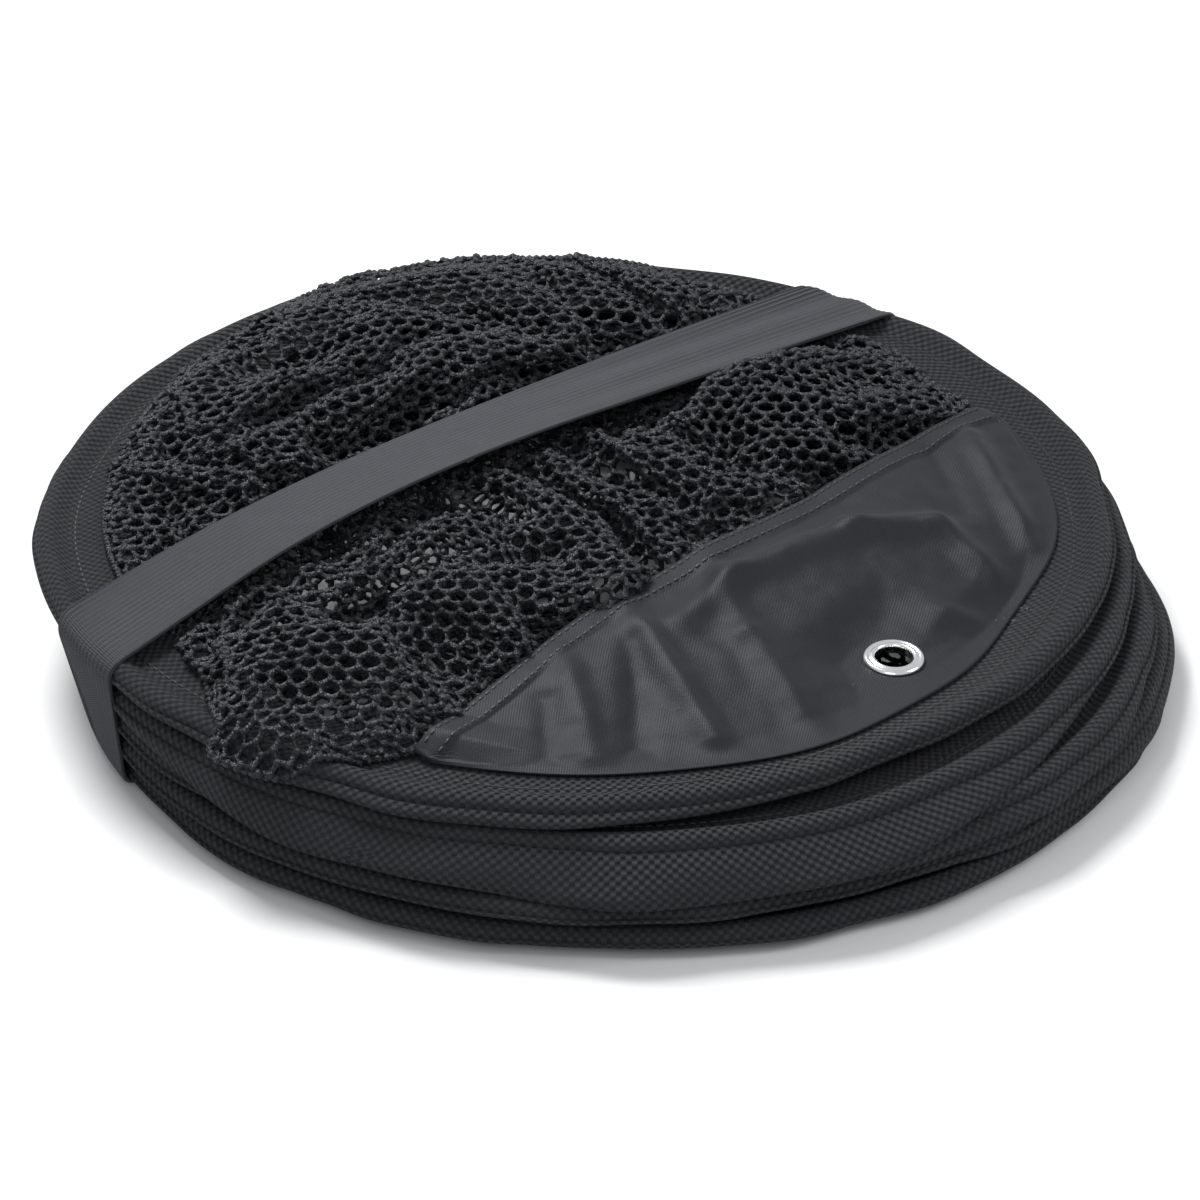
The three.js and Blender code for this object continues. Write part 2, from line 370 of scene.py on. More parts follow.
def leg_wave(index, turn, inwards):
    """The free edge of the top sleeve's legs is a little wavy."""
    if index < HOOPS - 1:
        return 0.0
    share = max(0.0, inwards - 7 * MM) / LEG
    return share ** 1.5 * MM * (1.5 * math.sin(7 * turn + 1) + 0.9 * math.sin(11 * turn + 2.6))


def fold_length(index, turn):
    """How far the spare tape hangs over the wire. The fourth sleeve has much the most."""
    if index == HOOPS - 2:
        uneven = 0.84 + 0.10 * math.sin(5 * turn + 1) + 0.06 * math.sin(11 * turn)
        return 0.6 * MM + FOLD_LONGEST * uneven * bump(turn, FOLD_BEARING, FOLD_REACH) ** 0.5
    spare, bearing = SPARE_TAPE[index]
    return (0.6 + spare * bump(turn, math.radians(bearing), 0.75) ** 0.7) * MM


def lean(index, turn):
    """How far outwards the hoop below lies from this one at that turn."""
    if index == 0:
        return 0.0
    step = centres[index - 1] - centres[index]
    return step.x * math.cos(turn) + step.y * math.sin(turn)


def tape_line(index, turn):
    """The middle of the tape's thickness, from the top leg's end round the wire to the lower leg's end."""
    slope, half = leg_slope(index, turn), TAPE / 2
    root = -LEG_ROOT
    legs = [root - (LEG - 2.5 * MM) * (1 - k / 5) for k in range(6)]

    def leg(x, side):
        return (x, (x - root) * -math.tan(slope) + leg_wave(index, turn, -x) + side * 0.52 * MM)

    line = [leg(x, 1) for x in legs]
    line += [(BEAD * math.cos(a), 0.97 * BEAD * math.sin(a)) for a in
             (math.radians(d) for d in (140, 118, 96, 74, 52, 30, 10, -8))]
    length = fold_length(index, turn)
    down = -math.atan2(centres[1].z - centres[0].z, max(0.0, lean(index, turn)))
    start = Vector((BEAD * math.cos(math.radians(-14)) + 0.5 * MM, -0.6 * MM))
    way = Vector((math.cos(down), math.sin(down)))
    off = Vector((-way.y, way.x))
    for side, steps in ((1, range(6)), (-1, range(5, -1, -1))):
        for k in steps:
            bulge = 0.9 * MM * math.sin(math.pi * k / 5) * min(1, length / (6 * MM))
            ripple = 0.5 + 0.5 * math.sin(9 * turn + 2.5 * math.sin(4 * turn) + 0.5 * k)
            bulge += 2.0 * MM * ripple * k / 5 * min(1, length / (12 * MM))
            line.append(tuple(start + way * (length * k / 5) + off * (side * (half + 0.05 * MM) + bulge)))
    line += [(BEAD * math.cos(a), 0.97 * BEAD * math.sin(a)) for a in
             (math.radians(d) for d in (-52, -74, -96, -118, -140))]
    line += [leg(x, -1) for x in reversed(legs)]
    return line


def thick_line(line, half):
    """The line's two sides, as one ring of points."""
    left, right = [], []
    for k, p in enumerate(line):
        a, b = Vector(line[max(0, k - 1)]), Vector(line[min(len(line) - 1, k + 1)])
        way = (b - a).normalized() if (b - a).length > 1e-9 else Vector((1, 0))
        off = Vector((-way.y, way.x)) * half
        left.append(Vector(p) + off)
        right.append(Vector(p) - off)
    return left + right[::-1]


def looseness(turn, index):
    """How far the tape stands off the wire there. It is pulled tight under the band's two ends."""
    tight = max(bump(turn, end, 0.45) for end in BAND_ENDS)
    where = Vector((5 * math.cos(turn), 5 * math.sin(turn), 3.7 * index))
    return (1 - tight) * 3.4 * MM * max(0.0, noise.noise(where) + 0.12)


def sleeve_ring(turn, index):
    c, out = hoop_place(index, turn), Vector((math.cos(turn), math.sin(turn), 0))
    loose, ring = looseness(turn, index), []
    for p in thick_line(tape_line(index, turn), TAPE / 2):
        off = loose * min(1, max(0, 0.5 + p.x / (2 * BEAD)))
        ring.append(c + out * (p.x + off) + Vector((0, 0, p.y)))
    return ring


def tape_place(index, turn, inwards, above=0.0):
    """A point on the sewn legs, that far in from the wire."""
    c, out = hoop_place(index, turn), Vector((math.cos(turn), math.sin(turn), 0))
    root = -LEG_ROOT
    rise = (-inwards - root) * -math.tan(leg_slope(index, turn)) + leg_wave(index, turn, inwards)
    return c - out * inwards + Vector((0, 0, rise + above))


class Grove:
    """A Geometry Nodes tree with named inputs, ending in Realize Instances and Set Material."""

    def __init__(self, name, material, **sizes):
        self.tree = bpy.data.node_groups.new(name, "GeometryNodeTree")
        face = self.tree.interface
        face.new_socket("Geometry", in_out="INPUT", socket_type="NodeSocketGeometry")
        face.new_socket("Geometry", in_out="OUTPUT", socket_type="NodeSocketGeometry")
        self.sizes, self.material = sizes, material
        for key, value in sizes.items():
            kind = "NodeSocketInt" if isinstance(value, int) else "NodeSocketFloat"
            face.new_socket(key, in_out="INPUT", socket_type=kind).default_value = value
        self.start = self.tree.nodes.new("NodeGroupInput")

    def size(self, key):
        return self.start.outputs[key]

    def node(self, kind, settings=None, **inputs):
        made = self.tree.nodes.new(kind)
        for key, value in (settings or {}).items():
            setattr(made, key, value)
        for key, value in inputs.items():
            socket = made.inputs[key.replace("_", " ")]
            if isinstance(value, bpy.types.NodeSocket):
                self.tree.links.new(value, socket)
            else:
                socket.default_value = value
        return made.outputs

    def grow(self, piece, last, **sizes):
        """Closes the tree after its last socket, then puts it on the piece with these sizes."""
        if not self.tree.nodes.get("Group Output"):
            solid = self.node("GeometryNodeRealizeInstances", Geometry=last)[0]
            dressed = self.node("GeometryNodeSetMaterial", Geometry=solid, Material=self.material)[0]
            end = self.tree.nodes.new("NodeGroupOutput")
            self.tree.links.new(dressed, end.inputs[0])
        growing = piece.modifiers.new("grow", "NODES")
        growing.node_group = self.tree
        for item in self.tree.interface.items_tree:
            if item.in_out == "INPUT" and item.name in self.sizes:
                growing[item.identifier] = sizes.get(item.name, self.sizes[item.name])


thread_stuff = Recipe("black_thread", roughness=0.6, sheen_weight=0.05)
thread_stuff.shader.inputs["Base Color"].default_value = (0.0020, 0.0020, 0.0024, 1)
stitching = Grove("row_of_stitches", thread_stuff.material, Pitch=3.4 * MM, Long=2.6 * MM, Thick=0.8 * MM)
row = stitching.node("GeometryNodeMeshToCurve", Mesh=stitching.start.outputs["Geometry"])[0]
spots = stitching.node("GeometryNodeCurveToPoints", {"mode": "LENGTH"},
                       Curve=row, Length=stitching.size("Pitch"))
bead = stitching.node("GeometryNodeMeshUVSphere", Segments=6, Rings=4, Radius=0.5)[0]
shape = stitching.node("ShaderNodeCombineXYZ", X=stitching.size("Thick"), Y=stitching.size("Thick"),
                       Z=stitching.size("Long"))[0]
laid = stitching.node("GeometryNodeInstanceOnPoints", Points=spots["Points"], Instance=bead,
                      Rotation=spots["Rotation"], Scale=shape)[0]


def stitch_row(name, points, closed=False, **sizes):
    count = len(points)
    edges = [(k, (k + 1) % count) for k in range(count if closed else count - 1)]
    made = put(name, points, [], edges=edges)
    stitching.grow(made, laid, **sizes)
    return settled(made)


for i in range(HOOPS):
    sleeve = swept(f"hoop_{i + 1}_webbing", lambda t, index=i: sleeve_ring(t, index),
                   around, webbing.material)
    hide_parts(f"hoop_{i + 1}_sleeve")
    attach(sleeve, BODIES[i])
    for side, height in (("upper", 1), ("lower", -1)):
        row_points = [tape_place(i, t, SEAM_IN, height * 1.02 * MM) for t in around]
        seam = stitch_row(f"hoop_{i + 1}_{side}_seam", row_points, closed=True)
        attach(seam, BODIES[i])

# ---- Netting ----
# Knitted black polyester mesh with round six-sided holes, cut with spare cloth so that it packs in
# folds. It is sewn to the inner edges of the sleeves, and is a little shiny where its threads turn.

NET_PITCH = 7.2 * MM
STRAND = 2.1 * MM
KNOT = 3.2 * MM

netting = Recipe("black_netting", roughness=0.45, sheen_weight=0.06, sheen_roughness=0.35)
netting.shader.inputs["Specular IOR Level"].default_value = 0.34
netting.shader.inputs["Specular Tint"].default_value = (0.84, 0.90, 1.0, 1)
knit = netting.node("ShaderNodeTexCoord", None, out="Object")
loops = netting.node("ShaderNodeTexVoronoi", {"feature": "F1"}, knit, Scale=1 / (0.85 * MM))
netting.relief(1 - loops, 0.5 * MM)
# Painted highlight and painted shade: the raised fibre bumps of the knit are coloured lighter and the low
# parts between them darker.
netting.feed("Base Color", netting.shade((0.0125, 0.0129, 0.0147), (0.0035, 0.0036, 0.0042),
                                         loops.ramp(0.1, 0.8)))
netting.feed("Roughness", netting.blotches(14 * MM) * 0.30 + 0.27)

knitting = Grove("knitted_netting", netting.material, Strand=STRAND, Knot=KNOT, Sides=3)
cells = knitting.node("GeometryNodeDualMesh",
                      Mesh=knitting.start.outputs["Geometry"], Keep_Boundaries=True)[0]
runs = knitting.node("GeometryNodeMeshToCurve", Mesh=cells)[0]
half_strand = knitting.node("ShaderNodeMath", {"operation": "MULTIPLY"}, Value=knitting.size("Strand"))
half_strand[0].node.inputs[1].default_value = 0.5
half_knot = knitting.node("ShaderNodeMath", {"operation": "MULTIPLY"}, Value=knitting.size("Knot"))
half_knot[0].node.inputs[1].default_value = 0.5
round_thread = knitting.node("GeometryNodeCurvePrimitiveCircle", Resolution=knitting.size("Sides"),
                             Radius=half_strand[0])[0]
strands = knitting.node("GeometryNodeCurveToMesh", Curve=runs, Profile_Curve=round_thread, Fill_Caps=True)[0]
knot = knitting.node("GeometryNodeMeshIcoSphere", Radius=half_knot[0], Subdivisions=1)[0]
knots = knitting.node("GeometryNodeInstanceOnPoints", Points=cells, Instance=knot)[0]
both = knitting.node("GeometryNodeJoinGeometry")
knitting.tree.links.new(strands, both[0].node.inputs[0])
knitting.tree.links.new(knots, both[0].node.inputs[0])
whole = knitting.node("GeometryNodeRealizeInstances", Geometry=both[0])[0]
laid_net = knitting.node("GeometryNodeSetShadeSmooth", Geometry=whole)[0]


def triangles(outline, pitch, inside):
    """A flat cloth of even triangles, one corner to each hole, inside an outline of points."""
    low, high = np.min(outline, 0), np.max(outline, 0)
    inner = []
    for row_index, y in enumerate(np.arange(low[1], high[1], pitch * math.sqrt(3) / 2)):
        for x in np.arange(low[0] + (row_index % 2) * pitch / 2, high[0], pitch):
            if inside(x, y):
                inner.append((x, y))
    count = len(outline)
    corners = [Vector(p) for p in list(outline) + inner]
    made = delaunay_2d_cdt(corners, [(k, (k + 1) % count) for k in range(count)], [], 1, 1e-7)
    return np.array([tuple(p) for p in made[0]]), [tuple(f) for f in made[2]]


def netted(piece, strand=STRAND, knot_size=KNOT):
    knitting.grow(piece, laid_net, Strand=strand, Knot=knot_size)
    return settled(piece)


# ---- Top net ----
# One slack piece of netting sewn inside the top hoop and heaped on the stack. It is cut nearly half as
# long again as its place each way, and a cloth simulation lets it crumple and settle under the band.

HEM_BEARING = math.radians(-41)
NET_EDGE = 61 * MM
SLACK = 1.45
GATHER_TURNS = 36
LID = centres[-1] + Vector((0, 0, -0.4 * MM))
TILT = Vector((math.cos(LIFT_BEARING), math.sin(LIFT_BEARING))) * LIFT / 2 / HOOP_RADIUS
hem_out = Vector((math.cos(HEM_BEARING), math.sin(HEM_BEARING), 0))
hem_along = Vector((-hem_out.y, hem_out.x, 0))


def net_reach(turn):
    """How far the net lies out over the sleeve."""
    return (154 + 29 * bump(turn, math.radians(238), 0.34) + 21 * bump(turn, math.radians(103), 1.25)) * MM


def on_sleeve(x, y):
    """The height of what the net lies on, at a place measured from the top hoop's middle."""
    reach, turn = math.hypot(x, y), math.atan2(y, x)
    c = hoop_place(HOOPS - 1, turn)
    inwards = math.hypot(c.x - LID.x, c.y - LID.y) - reach
    if inwards > LEG_ROOT:
        rise = min(inwards, LEG) - LEG_ROOT
        wave = leg_wave(HOOPS - 1, turn, min(inwards, LEG))
        tape = c.z + rise * math.tan(leg_slope(HOOPS - 1, turn)) + wave + 1.1 * MM
        level = LID.z + LIFT / 2 + Vector((x, y)).dot(TILT)
        share = min(1.0, max(0.0, inwards - LEG) / (12 * MM))
        return tape * (1 - share) + level * share
    if abs(inwards) < BEAD + TAPE:
        return c.z + 0.5 * MM + math.sqrt(max(0.0, (BEAD + TAPE / 2) ** 2 - inwards ** 2))
    return c.z + 1 * MM if inwards > 0 else c.z - 4 * MM


bed_verts, bed_faces, BED_RINGS = [], [], 60
for k in range(BED_RINGS):
    for m in range(120):
        reach, turn = 190 * MM * (k + 0.5) / BED_RINGS, 2 * math.pi * m / 120
        x, y = reach * math.cos(turn), reach * math.sin(turn)
        bed_verts.append((LID.x + x, LID.y + y, on_sleeve(x, y)))
        if k:
            n = (m + 1) % 120
            bed_faces.append(((k - 1) * 120 + m, k * 120 + m, k * 120 + n, (k - 1) * 120 + n))
bed_faces.append(tuple(range(120)))
bed = put("bed", bed_verts, bed_faces)

corner = math.acos(NET_EDGE / (154 * MM))
outline = []
for t in np.linspace(corner, 2 * math.pi - corner, 140):
    turn = t + HEM_BEARING
    outline.append((net_reach(turn) * math.cos(turn), net_reach(turn) * math.sin(turn)))
first, last = np.array(outline[0]), np.array(outline[-1])
outline += [tuple(last + (first - last) * k / 34) for k in range(1, 34)]


def inside_net(x, y, margin=3.2 * MM):
    out = x * hem_out.x + y * hem_out.y
    return out < NET_EDGE - margin and math.hypot(x, y) < net_reach(math.atan2(y, x)) - margin


flat_net, net_faces = triangles(np.array(outline), NET_PITCH / SLACK, inside_net)

BAND_LANE = 55.3 * MM
BAND_BEARING = math.radians(43)
BAND_WIDE = 37 * MM
BAND_THICK = 1.0 * MM
band_along = Vector((math.cos(BAND_BEARING), math.sin(BAND_BEARING), 0))
band_across = Vector((-band_along.y, band_along.x, 0))


def heap_under_band(s, w):
    """How high the heap holds the band, s along it and w across it from its middle."""
    share = min(1.0, max(0.0, (s + 150 * MM) / (290 * MM)))
    arch = math.sin(math.pi * share ** 0.70) ** 0.9 if 0 < share < 1 else 0.0
    return (13.5 * MM - 0.22 * w) * arch


band_verts, band_faces = [], []
for k in range(41):
    s = (k / 20 - 1) * 165 * MM
    for w in (-BAND_WIDE / 2, 0, BAND_WIDE / 2):
        p = LID + band_along * s + band_across * (BAND_LANE - LID.dot(band_across) + w)
        level = LID.z + LIFT / 2 + Vector((p.x - LID.x, p.y - LID.y)).dot(TILT)
        band_verts.append((p.x, p.y, level + 2.0 * MM + heap_under_band(s, w)))
    if k:
        a = 3 * k
        band_faces += [(a - 3, a - 2, a + 1, a), (a - 2, a - 1, a + 2, a + 1)]
hold = put("hold", band_verts, band_faces)


def crumple(piece, pinned, slack, turns, bend, weight, solids):
    """Lets a cloth that is cut too big for its place buckle, fall and come to rest on the solids."""
    pins = piece.vertex_groups.new(name="sewn")
    pins.add(pinned, 1.0, "REPLACE")
    cloth = piece.modifiers.new("cloth", "CLOTH")
    how = cloth.settings
    how.vertex_group_mass = "sewn"
    how.shrink_min = how.shrink_max = 1 - slack
    how.quality, how.mass = 8, 0.02
    how.tension_stiffness = how.compression_stiffness = 30
    how.shear_stiffness, how.bending_stiffness = 8, bend
    how.tension_damping = how.compression_damping = how.shear_damping = 1
    how.bending_damping, how.air_damping = 0.05, 1
    how.effector_weights.gravity = weight
    touch = cloth.collision_settings
    touch.distance_min, touch.collision_quality = 1.0 * MM, 3
    touch.use_self_collision, touch.self_distance_min, touch.self_friction = True, 1.4 * MM, 8
    for solid in solids:
        solid.modifiers.new("solid", "COLLISION")
        solid.collision.thickness_outer = 0.8 * MM
        solid.collision.cloth_friction = 20
    cloth.point_cache.frame_end = turns
    scene.frame_start, scene.frame_end = 1, turns
    for step in range(1, turns + 1):
        scene.frame_set(step)
    settled(piece)
    for solid in solids:
        solid.modifiers.clear()
    scene.frame_set(1)
    return piece


wander = np.random.default_rng(11)
verts = []
for x, y in flat_net:
    out = x * hem_out.x + y * hem_out.y
    inset = net_reach(math.atan2(y, x)) - math.hypot(x, y)
    edge = min(1, max(0, inset / (20 * MM)), max(0, (NET_EDGE - out) / (12 * MM)))
    ripple = math.sin(x / (9 * MM) + 1 + 1.2 * math.sin(y / (21 * MM)))
    ripple *= math.cos(y / (10 * MM) + 1.3 * math.sin(x / (23 * MM)))
    z = on_sleeve(x, y) + 1.2 * MM + edge * (7 * MM + 6 * MM * ripple + wander.normal(0, 0.2) * MM)
    verts.append((LID.x + x, LID.y + y, z))
top_net = put("top_netting", verts, net_faces, netting.material)
sewn = [k for k, (x, y) in enumerate(flat_net) if not inside_net(x, y, 0.05 * MM)]
crumple(top_net, sewn, SLACK, GATHER_TURNS, 0.12, 0.008, [bed, hold])
HEAP_MOST = 23 * MM
for vert in top_net.data.vertices:
    x, y = vert.co.x - LID.x, vert.co.y - LID.y
    over = vert.co.z - on_sleeve(x, y)
    inset = net_reach(math.atan2(y, x)) - math.hypot(x, y)
    most = HEAP_MOST * min(1, 0.15 + max(0, inset) / (55 * MM))
    if over > 0:
        vert.co.z += most * math.tanh(over / most) - over
    s = Vector((x, y, 0)).dot(band_along)
    w = Vector((x, y, 0)).dot(band_across) + LID.dot(band_across) - BAND_LANE
    if abs(w) < BAND_WIDE / 2 + 3 * MM:
        level = LID.z + LIFT / 2 + Vector((x, y)).dot(TILT)
        vert.co.z = min(vert.co.z, level + 1.5 * MM + heap_under_band(s, w))
netted(top_net)
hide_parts("top_net")
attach(top_net, "top")

# ---- Nylon flap ----
# A half-moon of satin-faced charcoal nylon, sewn into the sleeve along its round edge. Its straight
# edge is turned under and sewn down with two rows, and stands free of the netting as the way in.

FLAP_REACH = 162 * MM
HEM_OFFSET = 61 * MM
HEM_WIDE = 9 * MM
FLAP_LONG, FLAP_DEEP = 200, 80

nylon = Recipe("charcoal_nylon", roughness=0.42, sheen_weight=0.06, sheen_roughness=0.4)
nylon.shader.inputs["Specular IOR Level"].default_value = 0.16
nylon.shader.inputs["Specular Tint"].default_value = (0.84, 0.90, 1.0, 1)
nu, nv = nylon.along_cloth()
twill = ((nu + nv) * (2 * math.pi / 0.7)).sin() * 0.5 + 0.5
nylon.relief(twill * 0.5 + nylon.blotches(0.9 * MM, 2.0) * 0.8, 0.09 * MM)
nylon.feed("Base Color", nylon.shade((0.0046, 0.0048, 0.0055), (0.0116, 0.0120, 0.0137),
                                     nylon.blotches(1.6 * MM, 2.0) * 0.5 + nylon.blotches(35 * MM) * 0.5))
nylon.feed("Roughness", nylon.blotches(12 * MM) * 0.14 + 0.42)

half_hem = math.sqrt(FLAP_REACH ** 2 - HEM_OFFSET ** 2) - 4 * MM

# Soft creases, each from one place to another on the cut, in millimetres, with its height and width.
CREASES = [
    ((-42, 84), (-10, 80), 2.6, 6), ((-10, 80), (40, 88), 3.4, 7), ((40, 88), (66, 104), 3.2, 6),
    ((66, 104), (62, 132), 2.4, 6), ((-4, 62), (-30, 100), 1.6, 5), ((-48, 66), (-78, 128), 2.6, 5),
    ((-60, 80), (-104, 120), -1.9, 5), ((-80, 66), (-112, 108), 1.8, 5), ((-30, 104), (-52, 150), 1.9, 6),
    ((124, 72), (86, 128), 2.6, 5), ((104, 70), (82, 100), -1.6, 6), ((20, 120), (-14, 126), -1.5, 9),
    ((30, 132), (44, 152), 1.3, 5), ((-100, 78), (-122, 98), -1.2, 4),
]


def hem_line(a):
    """How far out the free edge stands at that place along it."""
    return HEM_OFFSET + 2.5 * MM * math.sin(a / (34 * MM))


def sewn_edge(a):
    """How far out the round edge is sewn in at that place along the hem. It is deepest at its right."""
    taken_in = 7 * MM * math.exp(-((a - 45 * MM) / (45 * MM)) ** 2) - 1.3 * MM * math.sin(a / (13 * MM))
    return math.sqrt((FLAP_REACH - taken_in * (1 - (a / half_hem) ** 2)) ** 2 - a ** 2)


def flap_rise(a, out, b):
    """How high the cloth stands over what it is sewn to."""
    ends = max(0.0, 1 - (a / half_hem) ** 2)
    rise = 12 * MM * ends ** 0.55 * (1 - b) ** 1.3
    rise += 4.0 * MM * ends * math.sin(math.pi * min(1, b) ** 0.7) ** 1.5
    rise += 0.9 * MM * math.sin(a / (11 * MM) + 1.2) * (1 - b) ** 2 * ends
    rise -= 3.2 * MM * math.exp(-((a + 2 * MM) ** 2 + (out - 134 * MM) ** 2) / (26 * MM) ** 2)
    here, edge = Vector((a, out)), min(1, 6 * (1 - b)) * min(1, 0.35 + 3 * b)
    for start, stop, high, wide in CREASES:
        p, q = Vector(start) * MM, Vector(stop) * MM
        t = min(1, max(0, (here - p).dot(q - p) / (q - p).length_squared))
        off = (here - p.lerp(q, t)).length / (wide * MM)
        taper = 0.55 + 0.45 * math.sin(math.pi * (0.15 + 0.7 * t))
        rise += 1.25 * high * MM * taper * math.exp(-off * off) * edge
    spot = here / (21 * MM)
    rise += 1.0 * MM * noise.noise(Vector((spot.x, spot.y, 3))) * edge * ends ** 0.5
    rise += 0.30 * MM * noise.noise(Vector((3 * spot.x, 3 * spot.y, 8))) * edge
    return max(rise, 0.5 * MM * min(1, 8 * (1 - b)))


flap_verts, flap_faces, flap_uv = [], [], []
for i in range(FLAP_LONG + 1):
    a = half_hem * (2 * i / FLAP_LONG - 1)
    far, near = sewn_edge(a), hem_line(a)
    for j in range(FLAP_DEEP + 1):
        b = j / FLAP_DEEP
        out = near + (far - near) * b
        p = hem_along * a + hem_out * out
        z = on_sleeve(p.x, p.y) + 0.9 * MM + flap_rise(a, out, b)
        flap_verts.append((LID.x + p.x, LID.y + p.y, z))
        flap_uv.append((a, out))
        k = i * (FLAP_DEEP + 1) + j
        if i and j:
            d = FLAP_DEEP + 1
            flap_faces.append((k - d - 1, k - d, k, k - 1)[::-1])
flap = put("nylon_half_moon", flap_verts, flap_faces, nylon.material)
layer = flap.data.uv_layers.new(name="cloth")
for loop in flap.data.loops:
    layer.data[loop.index].uv = flap_uv[loop.vertex_index]


def flap_frame(a, out):
    """The place and the upward normal of the flap, at a place on its flat cut."""
    far, near = sewn_edge(a), hem_line(a)
    i = (a / half_hem + 1) / 2 * FLAP_LONG
    j = (out - near) / (far - near) * FLAP_DEEP
    i, j = min(FLAP_LONG - 1e-6, max(0, i)), min(FLAP_DEEP - 1e-6, max(0, j))
    i0, j0 = int(i), int(j)
    co = [cloth_points[(i0 + di) * (FLAP_DEEP + 1) + j0 + dj] for di in (0, 1) for dj in (0, 1)]
    fi, fj = i - i0, j - j0
    place = (co[0] * (1 - fj) + co[1] * fj) * (1 - fi) + (co[2] * (1 - fj) + co[3] * fj) * fi
    normal = (co[2] - co[0]).cross(co[1] - co[0])
    if normal.z < 0:
        normal.negate()
    return place, normal.normalized()


cloth_points = [v.co.copy() for v in flap.data.vertices]
for k, vert in enumerate(flap.data.vertices):
    a, out = flap_uv[k]
    in_hem = out - hem_line(a)
    if in_hem < HEM_WIDE:
        place, normal = flap_frame(a, out)
        vert.co = cloth_points[k] + normal * 0.75 * MM * min(1, (HEM_WIDE - in_hem) / (0.9 * MM))
eyelet_middle = middle("eyelet") - LID
seat, up = flap_frame(eyelet_middle.dot(hem_along), eyelet_middle.dot(hem_out))
PUNCHED = 7.6 * MM
shape = bmesh.new()
shape.from_mesh(flap.data)
bmesh.ops.delete(shape, geom=[f for f in shape.faces if (f.calc_center_median() - seat).length < PUNCHED],
                 context="FACES")
shape.to_mesh(flap.data)
shape.free()
cloth_thick = flap.modifiers.new("cloth_thick", "SOLIDIFY")
cloth_thick.thickness, cloth_thick.offset = 0.5 * MM, 0
settled(flap)
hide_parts("nylon_flap")

for number, inset in ((1, 7.4 * MM), (2, 1.6 * MM)):
    row_points = []
    for k in range(161):
        a = (half_hem - 5 * MM) * (k / 80 - 1)
        place, normal = flap_frame(a, hem_line(a) + inset)
        row_points.append(place + normal * 1.05 * MM)
    seam = stitch_row(f"hem_stitches_{number}", row_points, Pitch=3.4 * MM, Long=2.6 * MM, Thick=0.95 * MM)
    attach(seam, "top")
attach(flap, "top")

# ---- Eyelet ----
# A plated brass eyelet pressed through the flap, with a rolled flange above and a plain washer below.
# The hole takes a cord or a peg. Its flange is bright and has one turned groove.

metal = Recipe("bright_plate", metallic=1.0, roughness=0.16)
metal.feed("Base Color", metal.shade((0.80, 0.80, 0.81), (0.93, 0.93, 0.94), metal.blotches(3 * MM)))
metal.feed("Roughness", metal.blotches(1.2 * MM) * 0.14 + 0.10)
EYELET_TURNS = 64
eyelet_profile = [(6.0, -1.6), (6.0, 0.9), (6.25, 1.55), (6.8, 1.9), (7.4, 1.82), (7.75, 1.55), (8.05, 1.46),
                  (8.4, 1.58), (8.9, 1.75), (9.4, 1.6), (9.8, 1.15), (10.0, 0.6), (9.9, 0.25), (6.9, 0.25),
                  (6.9, -1.6), (6.45, -1.75)]
washer_profile = [(6.95, -0.35), (9.7, -0.35), (9.9, -0.6), (9.7, -0.95), (7.1, -1.05), (6.95, -0.8)]

near_seats = [flap_frame(eyelet_middle.dot(hem_along) + dx, eyelet_middle.dot(hem_out) + dy)[1]
              for dx in (-8 * MM, 0, 8 * MM) for dy in (-8 * MM, 0, 6 * MM)]
up = sum(near_seats, Vector()).normalized()
tilt = up.to_track_quat("Z", "Y").to_matrix()


def turned(name, profile, node):
    verts, faces, count = [], [], len(profile)
    for i in range(EYELET_TURNS):
        a = 2 * math.pi * i / EYELET_TURNS
        verts += [seat + tilt @ Vector((r * math.cos(a), r * math.sin(a), z)) * MM for r, z in profile]
        j = (i + 1) % EYELET_TURNS
        faces += [(i * count + k, i * count + (k + 1) % count, j * count + (k + 1) % count, j * count + k)
                  for k in range(count)]
    made = put(name, verts, faces, metal.material)
    flip_out(made)
    smooth = made.modifiers.new("smooth", "SUBSURF")
    smooth.levels = smooth.render_levels = 1
    settled(made)
    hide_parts(node)
    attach(made, "top")
    return made


def flip_out(piece):
    """Turns a closed skin's faces outwards."""
    mesh = piece.data
    volume = sum((mesh.vertices[f.vertices[0]].co - seat).dot(
        (mesh.vertices[f.vertices[1]].co - seat).cross(mesh.vertices[f.vertices[2]].co - seat))
        for f in mesh.polygons)
    if volume < 0:
        mesh.flip_normals()


turned("bright_eyelet", eyelet_profile, "eyelet")
turned("washer_under_flap", washer_profile, "eyelet_washer")

# ---- Wall nets ----
# A strip of netting joins each hoop to the next. Packed, it lies between them in three pleats; open,
# it stands as the trap's wall. Its edges are sewn between the legs of the two sleeves.

WALL_IN = 150 * MM
PLEATS = 3
PLEAT_DEEP = 16 * MM
WALL_ROUND = 114
WALL_ROWS = 11
SEWN_IN = 2.8 * MM

